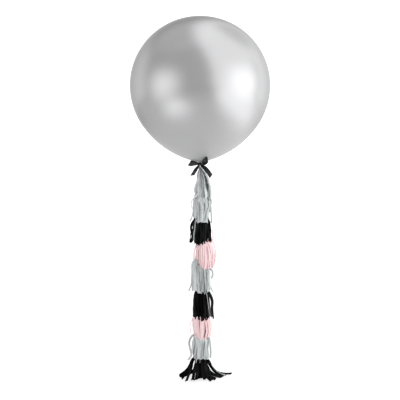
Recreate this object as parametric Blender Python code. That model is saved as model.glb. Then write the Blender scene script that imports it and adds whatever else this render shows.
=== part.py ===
"""Giant round latex balloon with a satin bow at its tied neck and a hanging garland of nine paper tassels.

Metres, +Z up, front towards -Y. The origin is the middle of the round envelope, where the gas lifts it.
The garland hangs from a hitch just in front of the neck, and its lowest tassel spreads out on the ground.
"""

import math

import bmesh
import bpy
from mathutils import Matrix, Vector

# Envelope: a sphere whose underside is drawn down towards the pinched neck.
ENVELOPE_RADIUS = 0.450
ENVELOPE_WALL = 0.010
ENVELOPE_SIDES = 44
ARC_STEPS = 18
ARC_END = math.radians(177.4)
DROOP = 0.042
DROOP_START = 0.36
NECK_RADIUS = 0.0075
NECK_BORE = 0.0015
NECK_TOP_Z = -0.4912
NECK_SIDES = 20
THROAT_Z = -0.4840

# The neck bends to the back below the bow, and its knot and mouth lie along the same bent line.
BEND_TOP_Z = -0.5035
BEND_RADIUS = 0.010
BEND_ANGLE = math.radians(80)
KNOT_LENGTH = 0.020
MOUTH_LENGTH = 0.038
MOUTH_FLATNESS = 0.42
# The gap left between two pieces that touch.
SEAT_GAP = 0.0003

# Ribbon: 27 mm satin.
RIBBON_WIDTH = 0.027
RIBBON_THICKNESS = 0.0016
BAND_TOP_Z = -0.4915
BAND_HEIGHT = 0.008
BAND_RADIUS = 0.0108
BOW_Z = -0.5000
BOW_KNOT_SIZE = (0.017, 0.011, 0.014)

# Cord and the garland's axis, in front of the neck and under the bow's knot.
CORD_RADIUS = 0.00125
CORD_SIDES = 8
CORD_KNOT_RADIUS = 0.0032
CORD_KNOT_HEIGHT = 0.0035
CORD_KNOT_SLOPE = 0.0020
CORD_END_HEIGHT = 0.008
CORD_LOOP_Z = -0.5015
CORD_LOOP_SIDES = 6
LEG_END_Z = -0.5107
LEG_END_SHARE = 0.7
HITCH_RADIUS = 0.0030
GARLAND_Y = -0.0100
PIVOT_Z = -0.5140
FLOOR_Z = -1.875
CORD_END_CLEARANCE = 0.006

# Tassels: a twisted paper stem with a bore for the cord, and a fringe that starts on it.
TWIST_LENGTH = 0.022
TWIST_RADIUS = 0.006
TWIST_EYE_RADIUS = 0.0075
TWIST_BORE = 0.0018
TWIST_SIDES = 10
STRIP_COUNT = 18
STRIP_THICKNESS = 0.003
CROWN_TOP = 0.010
CROWN_BOTTOM = 0.032
CROWN_TOP_RADIUS = 0.0085
CROWN_BOTTOM_RADIUS = 0.0245
FIRST_CROWN_RADIUS = 0.0185
INNER_STRIP_SHARE = 0.95
RAGGEDNESS = 0.012
# How far, in radians, a strip's end strays sideways when it hangs and when it lies on the ground.
STRAY = 0.10
GROUND_STRAY = 0.04
# The turn from one tassel to the next, so that their strips don't line up.
TASSEL_TURN = 0.9

# Columns: paper, height of the tassel's top, length down to its hem, radius at the hem.
TASSELS = (
    ("silver", -0.5175, 0.200, 0.054),
    ("silver", -0.662, 0.2155, 0.057),
    ("black", -0.812, 0.2165, 0.064),
    ("pink", -0.964, 0.219, 0.058),
    ("silver", -1.115, 0.216, 0.057),
    ("black", -1.266, 0.238, 0.066),
    ("pink", -1.417, 0.207, 0.057),
    ("silver", -1.568, 0.207, 0.056),
    ("black", -1.719, 0.1545, 0.150),
)

# Each strip's run to its end. Columns: share of the tassel's length, radius of the strip's middle, width.
FIRST_STRIP = ((0.30, 0.0235, 0.0080), (0.46, 0.0325, 0.0105), (0.75, 0.0470, 0.0130))
HANGING_STRIP = ((0.30, 0.0455, 0.0125), (0.45, 0.0540, 0.0140), (0.73, 0.0575, 0.0145))
GROUND_STRIP = ((0.36, 0.0420, 0.0125), (0.62, 0.0640, 0.0140), (0.88, 0.1000, 0.0145))
STRIP_END_WIDTH = 0.0125
# How far out the strips of the lowest tassel reach. Columns: direction from +X towards +Y, radius.
GROUND_REACH = (
    (18, 0.205),
    (50, 0.130),
    (100, 0.150),
    (140, 0.125),
    (180, 0.142),
    (241, 0.160),
    (262, 0.120),
    (293, 0.140),
    (343, 0.140),
    (378, 0.205),
)

# A loop's width at the knot and at its fullest, and how far its front and back part stand apart at the knot.
LOOP_WIDTHS = (0.009, 0.029)
LOOP_ROOT_DEPTH = 0.0025
# Each loop's line runs from the knot's side, first straight sideways by its lead, then round to its tip.
# Columns: name, lead, point it steers by, tip (both from the bow's middle), fullness, lean forwards in
# degrees, roundness of its tip.
BOW_LOOPS = (
    ("bow_loop_left", 0.0131, (-0.0475, -0.023, 0.0004), (-0.0611, -0.0545, -0.0019), 0.0461, 22, 0.90),
    ("bow_loop_right", 0.0135, (0.0288, -0.0451, 0.0003), (0.0438, -0.104, 0.0255), 0.0313, 50, 1.1),
)
# Columns: name, middle of the tail's end from the bow's middle, direction across the ribbon there, sag,
# slant of the end's cut, how soon it opens to its full width.
BOW_TAILS = (
    ("bow_tail_left", (-0.0541, -0.044, -0.0725), (0.71, -0.70, 0.09), 0.009, 0.016, 1.3),
    ("bow_tail_right", (0.0711, -0.026, -0.0841), (0.86, 0.48, 0.20), -0.0043, -0.0033, 3.0),
)
# A tail's width and its distance to the side at the knot, where it is gathered.
TAIL_ROOT_WIDTH = 0.009
TAIL_ROOT_X = 0.0048
# How far a tail's middle stands forwards of the straight line to its end, and where its slant starts.
TAIL_FORWARD = 0.014
SLANT_START = 0.6

COLOURS = {
    "latex": ((0.56, 0.56, 0.57), 0.28, 0.85),
    "satin": ((0.03, 0.03, 0.032), 0.35, 0.0),
    "cord": ((0.80, 0.80, 0.78), 0.7, 0.0),
    "silver": ((0.56, 0.60, 0.60), 0.45, 0.3),
    "black": ((0.012, 0.012, 0.013), 0.5, 0.0),
    "pink": ((0.90, 0.66, 0.67), 0.6, 0.0),
}


def material(key):
    """The Principled material of one finish, made once."""
    found = bpy.data.materials.get(key)
    if found:
        return found
    colour, roughness, metallic = COLOURS[key]
    made = bpy.data.materials.new(key)
    made.use_nodes = True
    shader = made.node_tree.nodes["Principled BSDF"]
    shader.inputs["Base Color"].default_value = (*colour, 1.0)
    shader.inputs["Roughness"].default_value = roughness
    shader.inputs["Metallic"].default_value = metallic
    return made


def add_object(name, shape, finish, parent=None):
    """Turns a bmesh into a named object, its faces outwards, smooth but for its sharp edges."""
    bmesh.ops.recalc_face_normals(shape, faces=shape.faces)
    if shape.calc_volume(signed=True) < 0:
        bmesh.ops.reverse_faces(shape, faces=shape.faces)
    mesh = bpy.data.meshes.new(name)
    shape.to_mesh(mesh)
    shape.free()
    mesh.shade_smooth()
    mesh.set_sharp_from_angle(angle=math.radians(40))
    mesh.materials.append(material(finish))
    made = bpy.data.objects.new(name, mesh)
    bpy.context.scene.collection.objects.link(made)
    made.parent = parent
    return made


def add_pivot(name, place, parent=None):
    """An empty on a joint's axis, which the pieces of that moving body hang from."""
    made = bpy.data.objects.new(name, None)
    bpy.context.scene.collection.objects.link(made)
    made.location = place
    made.parent = parent
    return made


def turned(profile, sides):
    """A bmesh turned about Z from (radius, height) points. Points on the axis become poles."""
    shape = bmesh.new()
    line = [shape.verts.new((radius, 0.0, height)) for radius, height in profile]
    edges = [shape.edges.new(pair) for pair in zip(line, line[1:])]
    bmesh.ops.spin(
        shape,
        geom=line + edges,
        cent=(0, 0, 0),
        axis=(0, 0, 1),
        angle=2 * math.pi,
        steps=sides,
        use_merge=True,
    )
    bmesh.ops.remove_doubles(shape, verts=shape.verts, dist=1e-6)
    return shape


def ring(profile, sides):
    """A bmesh turned from a closed profile that stays off the axis."""
    return turned((*profile, profile[0]), sides)


def bend_neck(shape):
    """Carries what lies below BEND_TOP_Z along the neck's line: an arc to the back, then straight on."""
    for vert in shape.verts:
        along = BEND_TOP_Z - vert.co.z
        if along <= 0:
            continue
        angle = min(along / BEND_RADIUS, BEND_ANGLE)
        past = max(along - BEND_RADIUS * BEND_ANGLE, 0.0)
        centre_y = BEND_RADIUS * (1 - math.cos(angle)) + past * math.sin(angle)
        centre_z = BEND_TOP_Z - BEND_RADIUS * math.sin(angle) - past * math.cos(angle)
        across = vert.co.y
        vert.co.y = centre_y + across * math.cos(angle)
        vert.co.z = centre_z + across * math.sin(angle)


def envelope_profile(radius):
    """(radius, height) points from the top pole down to the neck, the lower ones drawn down."""
    points = []
    for i in range(ARC_STEPS + 1):
        angle = ARC_END * i / ARC_STEPS
        out = radius * math.sin(angle)
        drawn = DROOP * max(0.0, 1 - out / DROOP_START) ** 1.5 if angle > math.pi / 2 else 0.0
        points.append((out, radius * math.cos(angle) - drawn))
    return points


def build_envelope():
    """The latex skin. Its wall closes in at the throat to a narrow bore, where the neck is pinched."""
    neck_end_z = BEND_TOP_Z - BEND_RADIUS * BEND_ANGLE
    outer = envelope_profile(ENVELOPE_RADIUS)
    outer += [(0.0115, NECK_TOP_Z + 0.0016), (NECK_RADIUS, NECK_TOP_Z), (NECK_RADIUS, BEND_TOP_Z)]
    outer += [(NECK_RADIUS, BEND_TOP_Z - 0.0045), (NECK_RADIUS, BEND_TOP_Z - 0.009)]
    outer += [(NECK_RADIUS * 0.9, neck_end_z)]
    inner = envelope_profile(ENVELOPE_RADIUS - ENVELOPE_WALL)
    bore = [(NECK_BORE, THROAT_Z), (NECK_BORE, BEND_TOP_Z), (NECK_BORE, BEND_TOP_Z - 0.0045)]
    bore += [(NECK_BORE, BEND_TOP_Z - 0.009), (NECK_BORE, neck_end_z)]
    shape = turned(outer + bore[::-1] + inner[::-1], ENVELOPE_SIDES)
    bend_neck(shape)
    add_object("envelope", shape, "latex")


def build_neck_knot():
    """The overhand knot in the neck, as two rolls of rubber side by side."""
    top = BEND_TOP_Z - BEND_RADIUS * BEND_ANGLE - SEAT_GAP
    # Columns: share of the knot's length, radius.
    rolls = ((0, 0.0), (0, 0.0078), (0.12, 0.0112), (0.30, 0.0125), (0.46, 0.0108), (0.55, 0.0106))
    rolls += ((0.70, 0.0122), (0.88, 0.0108), (1, 0.0070), (1, 0.0))
    shape = turned([(radius, top - share * KNOT_LENGTH) for share, radius in rolls], NECK_SIDES)
    bend_neck(shape)
    add_object("neck_knot", shape, "latex")


def build_mouth():
    """The rest of the neck past its knot: a flat tube that widens to a rolled lip with an open mouth."""
    top = BEND_TOP_Z - BEND_RADIUS * BEND_ANGLE - KNOT_LENGTH - 2 * SEAT_GAP
    # Columns: share of the length, radius. The last rows run back up inside the mouth.
    tube = ((0, 0.0), (0, 0.0065), (0.22, 0.0095), (0.60, 0.0125), (0.88, 0.0145), (0.93, 0.0168))
    tube += ((0.98, 0.0166), (1.0, 0.0148), (0.97, 0.0132), (0.62, 0.0105), (0.50, 0.0))
    shape = turned([(radius, top - share * MOUTH_LENGTH) for share, radius in tube], NECK_SIDES)
    for vert in shape.verts:
        vert.co.y *= MOUTH_FLATNESS
    bend_neck(shape)
    add_object("neck_mouth", shape, "latex")


def build_band():
    """The ribbon's turns round the pinched neck."""
    inside = NECK_RADIUS + SEAT_GAP
    low = BAND_TOP_Z - BAND_HEIGHT
    middle = (BAND_TOP_Z + low) / 2
    profile = (
        (inside, BAND_TOP_Z),
        (BAND_RADIUS - 0.0012, BAND_TOP_Z),
        (BAND_RADIUS, middle),
        (BAND_RADIUS - 0.0012, low),
        (inside, low),
    )
    add_object("ribbon_band", ring(profile, NECK_SIDES), "satin")


def build_bow_knot():
    """The small square knot in front of the band that the loops and tails come out of."""
    shape = bmesh.new()
    bmesh.ops.create_cube(shape, size=1.0)
    bmesh.ops.scale(shape, verts=shape.verts, vec=BOW_KNOT_SIZE)
    rounded = shape.edges[:]
    bmesh.ops.bevel(shape, geom=rounded, offset=0.0035, segments=2, affect="EDGES", profile=0.5)
    depth = BAND_RADIUS + SEAT_GAP + BOW_KNOT_SIZE[1] / 2
    bmesh.ops.translate(shape, verts=shape.verts, vec=(0, -depth, BOW_Z))
    add_object("bow_knot", shape, "satin")
    return Vector((0, -depth, BOW_Z))


def ribbon(name, rows):
    """A strip of ribbon through rows of (middle, half of its width as a vector, surface normal)."""
    shape = bmesh.new()
    rings = []
    for middle, half, normal in rows:
        lift = normal * (RIBBON_THICKNESS / 2)
        corners = (middle - half + lift, middle + half + lift, middle + half - lift, middle - half - lift)
        rings.append([shape.verts.new(corner) for corner in corners])
    for first, second in zip(rings, rings[1:]):
        for k in range(4):
            shape.faces.new((first[k], first[(k + 1) % 4], second[(k + 1) % 4], second[k]))
    shape.faces.new(rings[0])
    shape.faces.new(rings[-1][::-1])
    add_object(name, shape, "satin")


def framed(points, widths, acrosses, slants):
    """Rows for ribbon(): each normal is square to the ribbon's run and to its width."""
    rows = []
    for i, (point, width, across, slant) in enumerate(zip(points, widths, acrosses, slants)):
        run = points[min(i + 1, len(points) - 1)] - points[max(i - 1, 0)]
        normal = run.cross(across).normalized()
        flat = normal.cross(run).normalized()
        rows.append((point, flat * (width / 2) + run.normalized() * slant, normal))
    return rows


def build_bow_loops(bow):
    """Each loop leaves the knot's side in front, turns at its tip and comes back behind.

    Its middle line is the cubic curve of four points: the knot's side, the lead, the steering point, the tip.
    """
    steps = 18
    root_width, full_width = LOOP_WIDTHS
    knot_half = BOW_KNOT_SIZE[0] / 2 + 3 * SEAT_GAP
    for name, lead, steer, tip, depth, lean, roundness in BOW_LOOPS:
        way = math.copysign(1.0, tip[0])
        side = Vector((way * knot_half, 0, 0))
        first = side + Vector((way * lead, 0, 0))
        steer = Vector(steer)
        tip = Vector(tip)
        points, widths, acrosses = [], [], []
        for i in range(steps + 1):
            turn = math.pi * i / steps
            full = math.sin(turn)
            out = full ** roundness
            rest = 1 - out
            middle = side * rest**3 + first * (3 * rest**2 * out) + steer * (3 * rest * out**2) + tip * out**3
            along = (first - side) * rest**2 + (steer - first) * (2 * rest * out) + (tip - steer) * out**2
            along.normalize()
            back = (Vector((0, 1, 0)) - along * along.y).normalized()
            up = along.cross(back)
            up = up if up.z > 0 else -up
            tilt = math.radians(lean) * full
            behind = back * math.cos(tilt) - up * math.sin(tilt)
            above = up * math.cos(tilt) + back * math.sin(tilt)
            bulge = -math.cos(turn) * (LOOP_ROOT_DEPTH + (depth - LOOP_ROOT_DEPTH) * full**1.5)
            points.append(bow + middle + behind * bulge)
            widths.append(root_width + (full_width - root_width) * full**0.6)
            acrosses.append(above)
        ribbon(name, framed(points, widths, acrosses, [0.0] * len(points)))


def build_bow_tails(bow):
    """Each tail leaves the knot's lower edge gathered, opens to its full width and ends in a straight cut."""
    steps = 8
    knot_low = BOW_KNOT_SIZE[2] / 2 + SEAT_GAP
    for name, end, end_across, sag, slant, opening in BOW_TAILS:
        end = Vector(end)
        start = Vector((math.copysign(TAIL_ROOT_X, end.x), 0.0, -knot_low - RIBBON_THICKNESS / 2))
        start_across = Vector((1, 0, 0))
        points, widths, acrosses, slants = [], [], [], []
        for i in range(steps + 1):
            share = i / steps
            drape = Vector((0, -TAIL_FORWARD, -sag)) * math.sin(math.pi * share)
            points.append(bow + start.lerp(end, share) + drape)
            open_share = min(1.0, share * opening) ** 0.8
            widths.append(TAIL_ROOT_WIDTH + (RIBBON_WIDTH - TAIL_ROOT_WIDTH) * open_share)
            acrosses.append(start_across.lerp(Vector(end_across), min(1.0, share * 1.3)))
            slants.append(slant * max(0.0, (share - SLANT_START) / (1 - SLANT_START)) ** 2)
        ribbon(name, framed(points, widths, acrosses, slants))


def build_cord_loop():
    """The cord's tied ring round the neck, under the ribbon, with its short leg down in front."""
    major = NECK_RADIUS + CORD_RADIUS + SEAT_GAP
    angles = [2 * math.pi * i / CORD_LOOP_SIDES for i in range(CORD_LOOP_SIDES)]
    profile = [(major + CORD_RADIUS * math.cos(a), CORD_LOOP_Z + CORD_RADIUS * math.sin(a)) for a in angles]
    shape = ring(profile, NECK_SIDES)
    half_side = Matrix.Rotation(math.pi / NECK_SIDES, 3, "Z")
    bmesh.ops.rotate(shape, verts=shape.verts, cent=(0, 0, 0), matrix=half_side)
    centres = {face: face.calc_center_median() for face in shape.faces}
    foot = min(centres, key=lambda face: (round(centres[face].z, 5), centres[face].y))
    made = bmesh.ops.extrude_face_region(shape, geom=[foot])["geom"]
    shape.faces.remove(foot)
    for vert in (item for item in made if isinstance(item, bmesh.types.BMVert)):
        vert.co.z = LEG_END_Z
        vert.co.y = GARLAND_Y + math.copysign(CORD_RADIUS, vert.co.y - GARLAND_Y) * LEG_END_SHARE
    add_object("cord_loop", shape, "cord")


def build_hitch(pivot):
    """The round knot under the ring that the garland swings from."""
    shape = bmesh.new()
    bmesh.ops.create_icosphere(shape, subdivisions=2, radius=HITCH_RADIUS)
    add_object("cord_hitch", shape, "cord", pivot)


def build_cord(pivot):
    """One straight cord with a knot under each tassel and a flat cut end just above the ground."""
    profile = [(0.0, -HITCH_RADIUS - SEAT_GAP), (CORD_RADIUS, -HITCH_RADIUS - SEAT_GAP)]
    for _, top, _, _ in TASSELS:
        knot_top = top - PIVOT_Z - TWIST_LENGTH - SEAT_GAP
        profile += [(CORD_RADIUS, knot_top), (CORD_KNOT_RADIUS, knot_top)]
        knot_low = knot_top - CORD_KNOT_HEIGHT
        profile += [(CORD_KNOT_RADIUS, knot_low), (CORD_RADIUS, knot_low - CORD_KNOT_SLOPE)]
    end = FLOOR_Z + CORD_END_CLEARANCE - PIVOT_Z
    end_top = end + CORD_END_HEIGHT
    profile += [(CORD_RADIUS, end_top + CORD_KNOT_SLOPE), (CORD_KNOT_RADIUS, end_top)]
    profile += [(CORD_KNOT_RADIUS, end), (0.0, end)]
    add_object("cord", turned(profile, CORD_SIDES), "cord", pivot)


def build_twist(name, finish, pivot):
    """The twisted paper stem that the cord passes through, wider at its eye."""
    profile = (
        (TWIST_BORE, 0.0),
        (TWIST_EYE_RADIUS - 0.002, 0.0),
        (TWIST_EYE_RADIUS, -0.003),
        (TWIST_EYE_RADIUS - 0.0008, -0.0075),
        (TWIST_RADIUS, -CROWN_TOP + SEAT_GAP),
        (TWIST_RADIUS - 0.0005, -TWIST_LENGTH),
        (TWIST_BORE, -TWIST_LENGTH),
    )
    add_object(name, ring(profile, TWIST_SIDES), finish, pivot)


def build_fringe(name, finish, pivot, number):
    """A crown of pressed paper round the stem, whose lower edge runs on as separate hanging strips."""
    shape = bmesh.new()
    parts = 2 * STRIP_COUNT
    crown_radius = FIRST_CROWN_RADIUS if number == 1 else CROWN_BOTTOM_RADIUS
    levels = (
        (CROWN_TOP_RADIUS, CROWN_TOP),
        (crown_radius, CROWN_BOTTOM),
        (crown_radius - STRIP_THICKNESS, CROWN_BOTTOM),
        (TWIST_RADIUS + SEAT_GAP, CROWN_TOP),
    )
    turns = [2 * math.pi * (i - 0.5) / parts + TASSEL_TURN * number for i in range(parts)]
    rings = [
        [shape.verts.new((radius * math.cos(turn), radius * math.sin(turn), -depth)) for turn in turns]
        for radius, depth in levels
    ]
    crown_top, crown_bottom, inside_bottom, inside_top = rings
    for i in range(parts):
        j = (i + 1) % parts
        for first, second in ((crown_top, crown_bottom), (inside_bottom, inside_top), (inside_top, crown_top)):
            shape.faces.new((first[i], first[j], second[j], second[i]))
        edge = [crown_bottom[i], crown_bottom[j], inside_bottom[j], inside_bottom[i]]
        if i % 2:
            shape.faces.new(edge)
        else:
            add_strip(shape, edge, crown_radius, turns[i] + math.pi / parts, i // 2, number)
    add_object(name, shape, finish, pivot)


def ground_reach(turn):
    """How far a strip of the lowest tassel lies out over the ground in this direction."""
    degrees = (math.degrees(turn) - GROUND_REACH[0][0]) % 360 + GROUND_REACH[0][0]
    for (start, first), (end, second) in zip(GROUND_REACH, GROUND_REACH[1:]):
        if degrees <= end:
            return first + (second - first) * (degrees - start) / (end - start)
    return GROUND_REACH[-1][1]


def add_strip(shape, edge, crown_radius, turn, i, number):
    """One strip of the fringe: four corners carried down through its stations, ending in a flat cut.

    Every second hanging strip keeps a little nearer the middle, and their ends aren't level.
    """
    on_ground = number == len(TASSELS)
    _, _, length, hem_radius = TASSELS[number - 1]
    run = GROUND_STRIP if on_ground else FIRST_STRIP if number == 1 else HANGING_STRIP
    nearness = 1.0 if on_ground or i % 2 else INNER_STRIP_SHARE
    stations = [(share * length, radius * nearness, width) for share, radius, width in run]
    if on_ground:
        stations.append((length, ground_reach(turn), STRIP_END_WIDTH))
    else:
        stations.append((length - RAGGEDNESS * ((i * 7) % 5) / 4, hem_radius * nearness, STRIP_END_WIDTH))
    swing = GROUND_STRAY if on_ground else STRAY
    corners = edge
    before = (crown_radius - STRIP_THICKNESS / 2, CROWN_BOTTOM)
    for k, (depth, radius, width) in enumerate(stations):
        at = turn + swing * math.sin(2.4 * i) * (k + 1) / len(stations)
        out = Vector((math.cos(at), math.sin(at), 0))
        side = Vector((-math.sin(at), math.cos(at), 0)) * (width / 2)
        slope = math.atan2(depth - before[1], radius - before[0])
        face = (out * math.sin(slope) + Vector((0, 0, math.cos(slope)))) * (STRIP_THICKNESS / 2)
        middle = out * radius - Vector((0, 0, depth))
        spots = (middle - side + face, middle + side + face, middle + side - face, middle - side - face)
        below = [shape.verts.new(spot) for spot in spots]
        for c in range(4):
            d = (c + 1) % 4
            shape.faces.new((corners[c], corners[d], below[d], below[c]))
        corners = below
        before = (radius, depth)
    shape.faces.new(corners)


def build_garland():
    """The hitch, the cord and the nine tassels, each tassel on its own pivot on the cord."""
    hitch_pivot = add_pivot("hitch_pivot", (0, GARLAND_Y, PIVOT_Z))
    garland_pivot = add_pivot("garland_pivot", (0, 0, 0), hitch_pivot)
    build_hitch(hitch_pivot)
    build_cord(garland_pivot)
    for i, (finish, top, _, _) in enumerate(TASSELS):
        number = i + 1
        pivot = add_pivot(f"tassel_{number}_pivot", (0, 0, top - PIVOT_Z), garland_pivot)
        build_twist(f"tassel_{number}_twist", finish, pivot)
        build_fringe(f"tassel_{number}_fringe", finish, pivot, number)


def main():
    for leftover in list(bpy.data.objects):
        bpy.data.objects.remove(leftover)
    build_envelope()
    build_neck_knot()
    build_mouth()
    build_band()
    bow = build_bow_knot()
    build_bow_loops(bow)
    build_bow_tails(bow)
    build_cord_loop()
    build_garland()


main()
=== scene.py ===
import math

import bpy
import numpy as np
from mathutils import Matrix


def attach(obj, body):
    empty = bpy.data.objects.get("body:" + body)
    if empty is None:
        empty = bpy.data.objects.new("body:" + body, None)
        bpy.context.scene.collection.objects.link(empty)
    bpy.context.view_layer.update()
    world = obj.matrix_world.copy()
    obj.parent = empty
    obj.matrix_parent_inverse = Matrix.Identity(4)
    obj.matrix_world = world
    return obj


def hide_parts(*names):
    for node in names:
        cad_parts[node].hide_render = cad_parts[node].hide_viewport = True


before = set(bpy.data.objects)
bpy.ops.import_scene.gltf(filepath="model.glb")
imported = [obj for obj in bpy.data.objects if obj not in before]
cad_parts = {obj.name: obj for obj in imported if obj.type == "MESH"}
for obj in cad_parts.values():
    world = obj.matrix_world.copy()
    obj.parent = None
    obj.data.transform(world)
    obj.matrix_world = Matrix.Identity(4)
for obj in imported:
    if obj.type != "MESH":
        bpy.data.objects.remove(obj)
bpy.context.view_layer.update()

scene = bpy.context.scene

# The camera stands level, five metres in front of the balloon, as the photograph was taken.
camera = bpy.data.objects.new("camera", bpy.data.cameras.new("camera"))
scene.collection.objects.link(camera)
camera.data.sensor_width = 36.0
camera.data.lens = 70.0
camera.location = (0.0, -5.0, -0.733)
camera.rotation_euler = (np.pi / 2, 0.0, 0.0)
scene.camera = camera
scene.view_settings.view_transform = "Standard"


# The white studio. Its walls give soft light from all sides, and two softboxes beside the balloon draw
# bright patches on it. The floor is a white sheet that glows, so that only a faint shadow shows on it.
FLOOR_Z = -1.875
FLOOR_REACH = 12.0
FLOOR_GAP = 0.0005
# The walls' light, and what each part of the studio adds to it or takes from it.
WALL_LIGHT, WINDOW_LIGHT, LEFT_WALL_LIGHT, CEILING_LIGHT = 1.02, 1.0, 0.45, 0.2
CAMERA_SIDE_SHADE, CORNER_SHADE, BAR_SHADE, BLIND_SHADE = 0.16, 0.08, 0.45, 0.55
# The floor's glow, the painted light of the windows and the pool, and the painted shade at front and far
# side.
FLOOR_GLOW, WINDOW_GLOW, POOL_GLOW, FRONT_SHADE, FAR_SHADE = 0.7, 1.15, 0.95, 0.12, 0.18
POOL_X, POOL_Y, POOL_RADIUS = -1.95, -2.0, 2.1


class Number:
    """A number that a node gives out. Python's operators on it add the Math nodes that work it out."""

    def __init__(self, tree, socket):
        self.tree = tree
        self.socket = socket

    def math(self, operation, *values):
        node = self.tree.nodes.new("ShaderNodeMath")
        node.operation = operation
        for slot, value in zip(node.inputs, values):
            plug(self.tree, slot, value)
        return Number(self.tree, node.outputs[0])

    __add__ = __radd__ = lambda self, other: self.math("ADD", self, other)
    __sub__ = lambda self, other: self.math("SUBTRACT", self, other)
    __rsub__ = lambda self, other: self.math("SUBTRACT", other, self)
    __mul__ = __rmul__ = lambda self, other: self.math("MULTIPLY", self, other)
    __truediv__ = lambda self, other: self.math("DIVIDE", self, other)
    __pow__ = lambda self, other: self.math("POWER", self, other)
    sine = lambda self: self.math("SINE", self)
    size = lambda self: self.math("ABSOLUTE", self)

    def smooth(self, start, end):
        """0 before start, 1 after end, and a smooth rise between them: t * t * (3 - 2 * t)."""
        share = self.math("DIVIDE", self - start, end - start)
        share = share.math("MINIMUM", share.math("MAXIMUM", share, 0.0), 1.0)
        return share * share * (3 - 2 * share)


def plug(tree, slot, value):
    """Links a number or node output to a socket, or sets the socket to a plain value."""
    if isinstance(value, Number):
        tree.links.new(value.socket, slot)
    else:
        slot.default_value = value


class Nodes:
    """The nodes of one material, light or sky."""

    def __init__(self, tree):
        self.tree = tree

    def add(self, kind, out=0, settings=(), values=()):
        """Adds a node of this kind with its settings and socket values, and gives back one of its outputs."""
        node = self.tree.nodes.new("ShaderNode" + kind)
        for name, value in dict(settings).items():
            setattr(node, name, value)
        for name, value in dict(values).items():
            plug(self.tree, node.inputs[name], value)
        return Number(self.tree, node.outputs[out])

    def place(self, kind="Object"):
        return self.add("TexCoord", kind)

    def axes(self, vector):
        node = self.tree.nodes.new("ShaderNodeSeparateXYZ")
        plug(self.tree, node.inputs[0], vector)
        return [Number(self.tree, output) for output in node.outputs]

    def noise(self, scale, detail=2.0, vector=None, stretch=(1.0, 1.0, 1.0)):
        """Soft noise from 0 to 1 on Object coordinates, drawn out along an axis by a small stretch."""
        vector = vector or self.place()
        vector = self.add("Mapping", values={"Vector": vector, "Scale": stretch})
        return self.add("TexNoise", values={"Vector": vector, "Scale": scale, "Detail": detail})

    def mix(self, share, first, second):
        values = {0: share, 6: (*first, 1.0), 7: (*second, 1.0)}
        return self.add("Mix", 2, {"data_type": "RGBA"}, values)

    def shade(self, colour, factor):
        """A colour made lighter or darker by a number."""
        return self.add("VectorMath", 0, {"operation": "SCALE"}, {0: colour, "Scale": factor})


class Finish(Nodes):
    """A procedural material: constants sit on the Principled shader, and nodes work out what varies."""

    def __init__(self, name, **constants):
        self.material = bpy.data.materials.new(name)
        self.material.use_nodes = True
        super().__init__(self.material.node_tree)
        self.shader = self.tree.nodes["Principled BSDF"]
        for key, value in constants.items():
            self.feed(key.replace("_", " ").title().replace("Ior", "IOR"), value)

    def feed(self, socket, value):
        plug(self.tree, self.shader.inputs[socket], value)

    def bump(self, height, distance, strength=1.0):
        values = {"Height": height, "Distance": distance, "Strength": strength}
        self.feed("Normal", self.add("Bump", values=values))


sky = bpy.data.worlds.new("studio")
sky.use_nodes = True
scene.world = sky
sky_nodes = Nodes(sky.node_tree)
across, along, up = sky_nodes.axes(sky_nodes.place("Generated"))
# White all round, brighter towards the studio's windows on the right, darker above on the left.
windows = (across + 0.45 * up * up).smooth(0.18, 0.5)
camera_side = 1 - along.smooth(-0.1, 0.6)
dark_corner = (0.85 * up - 0.4 * across + 0.35 * along).smooth(0.6, 0.95)
level = (up - 0.1) * (up - 0.1)
left_wall = (0.83 * along - 0.55 * across).smooth(0.45, 0.85) * (1 - level.smooth(0.1, 0.36))
top_left = (up - 0.3 * across).smooth(0.8, 1.0)
# An upright bar stands between the windows, and a blind hangs in their upper corner.
from_bar = (0.97 * along - 0.26 * across).size()
bar = (1 - from_bar.smooth(0.03, 0.14)) * (1 - up.smooth(0.3, 0.6))
blind = (0.485 * across + 0.379 * along + 0.788 * up).smooth(0.93, 0.995)
sky_light = WALL_LIGHT + WINDOW_LIGHT * windows + LEFT_WALL_LIGHT * left_wall + CEILING_LIGHT * top_left
sky_light = sky_light - CAMERA_SIDE_SHADE * camera_side - CORNER_SHADE * dark_corner
sky_light = sky_light - windows * (BAR_SHADE * bar + BLIND_SHADE * blind)
background = sky.node_tree.nodes["Background"].inputs
plug(sky.node_tree, background["Strength"], sky_light)
background["Color"].default_value = (1.0, 1.0, 1.0, 1.0)


def softbox(name, azimuth, elevation, distance, width, height, radiance, feather):
    """A rectangular light that faces the balloon's middle and fades out towards its edges.

    Azimuth 0 is the camera's side and 90 the balloon's right; width and height are in degrees.
    Its strength is radiance * edge(u) * edge(v), where edge rises smoothly over the feather's width.
    """
    a, e = math.radians(azimuth), math.radians(elevation)
    out = np.array((math.sin(a) * math.cos(e), -math.cos(a) * math.cos(e), math.sin(e)))
    lamp = bpy.data.lights.new(name, "AREA")
    lamp.shape = "RECTANGLE"
    lamp.size = 2 * distance * math.tan(math.radians(width / 2))
    lamp.size_y = 2 * distance * math.tan(math.radians(height / 2))
    lamp.energy = radiance * np.pi * lamp.size * lamp.size_y
    lamp.use_nodes = True
    nodes = Nodes(lamp.node_tree)
    u, v, _ = nodes.axes(nodes.add("NewGeometry", "Parametric"))
    fade = 1.0
    for share in (u, v):
        nearest = share.math("MINIMUM", share, 1 - share)
        fade = nearest.smooth(0.0, feather) * fade
    plug(lamp.node_tree, lamp.node_tree.nodes["Emission"].inputs["Strength"], fade)
    made = bpy.data.objects.new(name, lamp)
    scene.collection.objects.link(made)
    made.location = out * distance
    made.rotation_euler = (np.pi / 2 - e, 0.0, a)
    made.visible_camera = False


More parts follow.
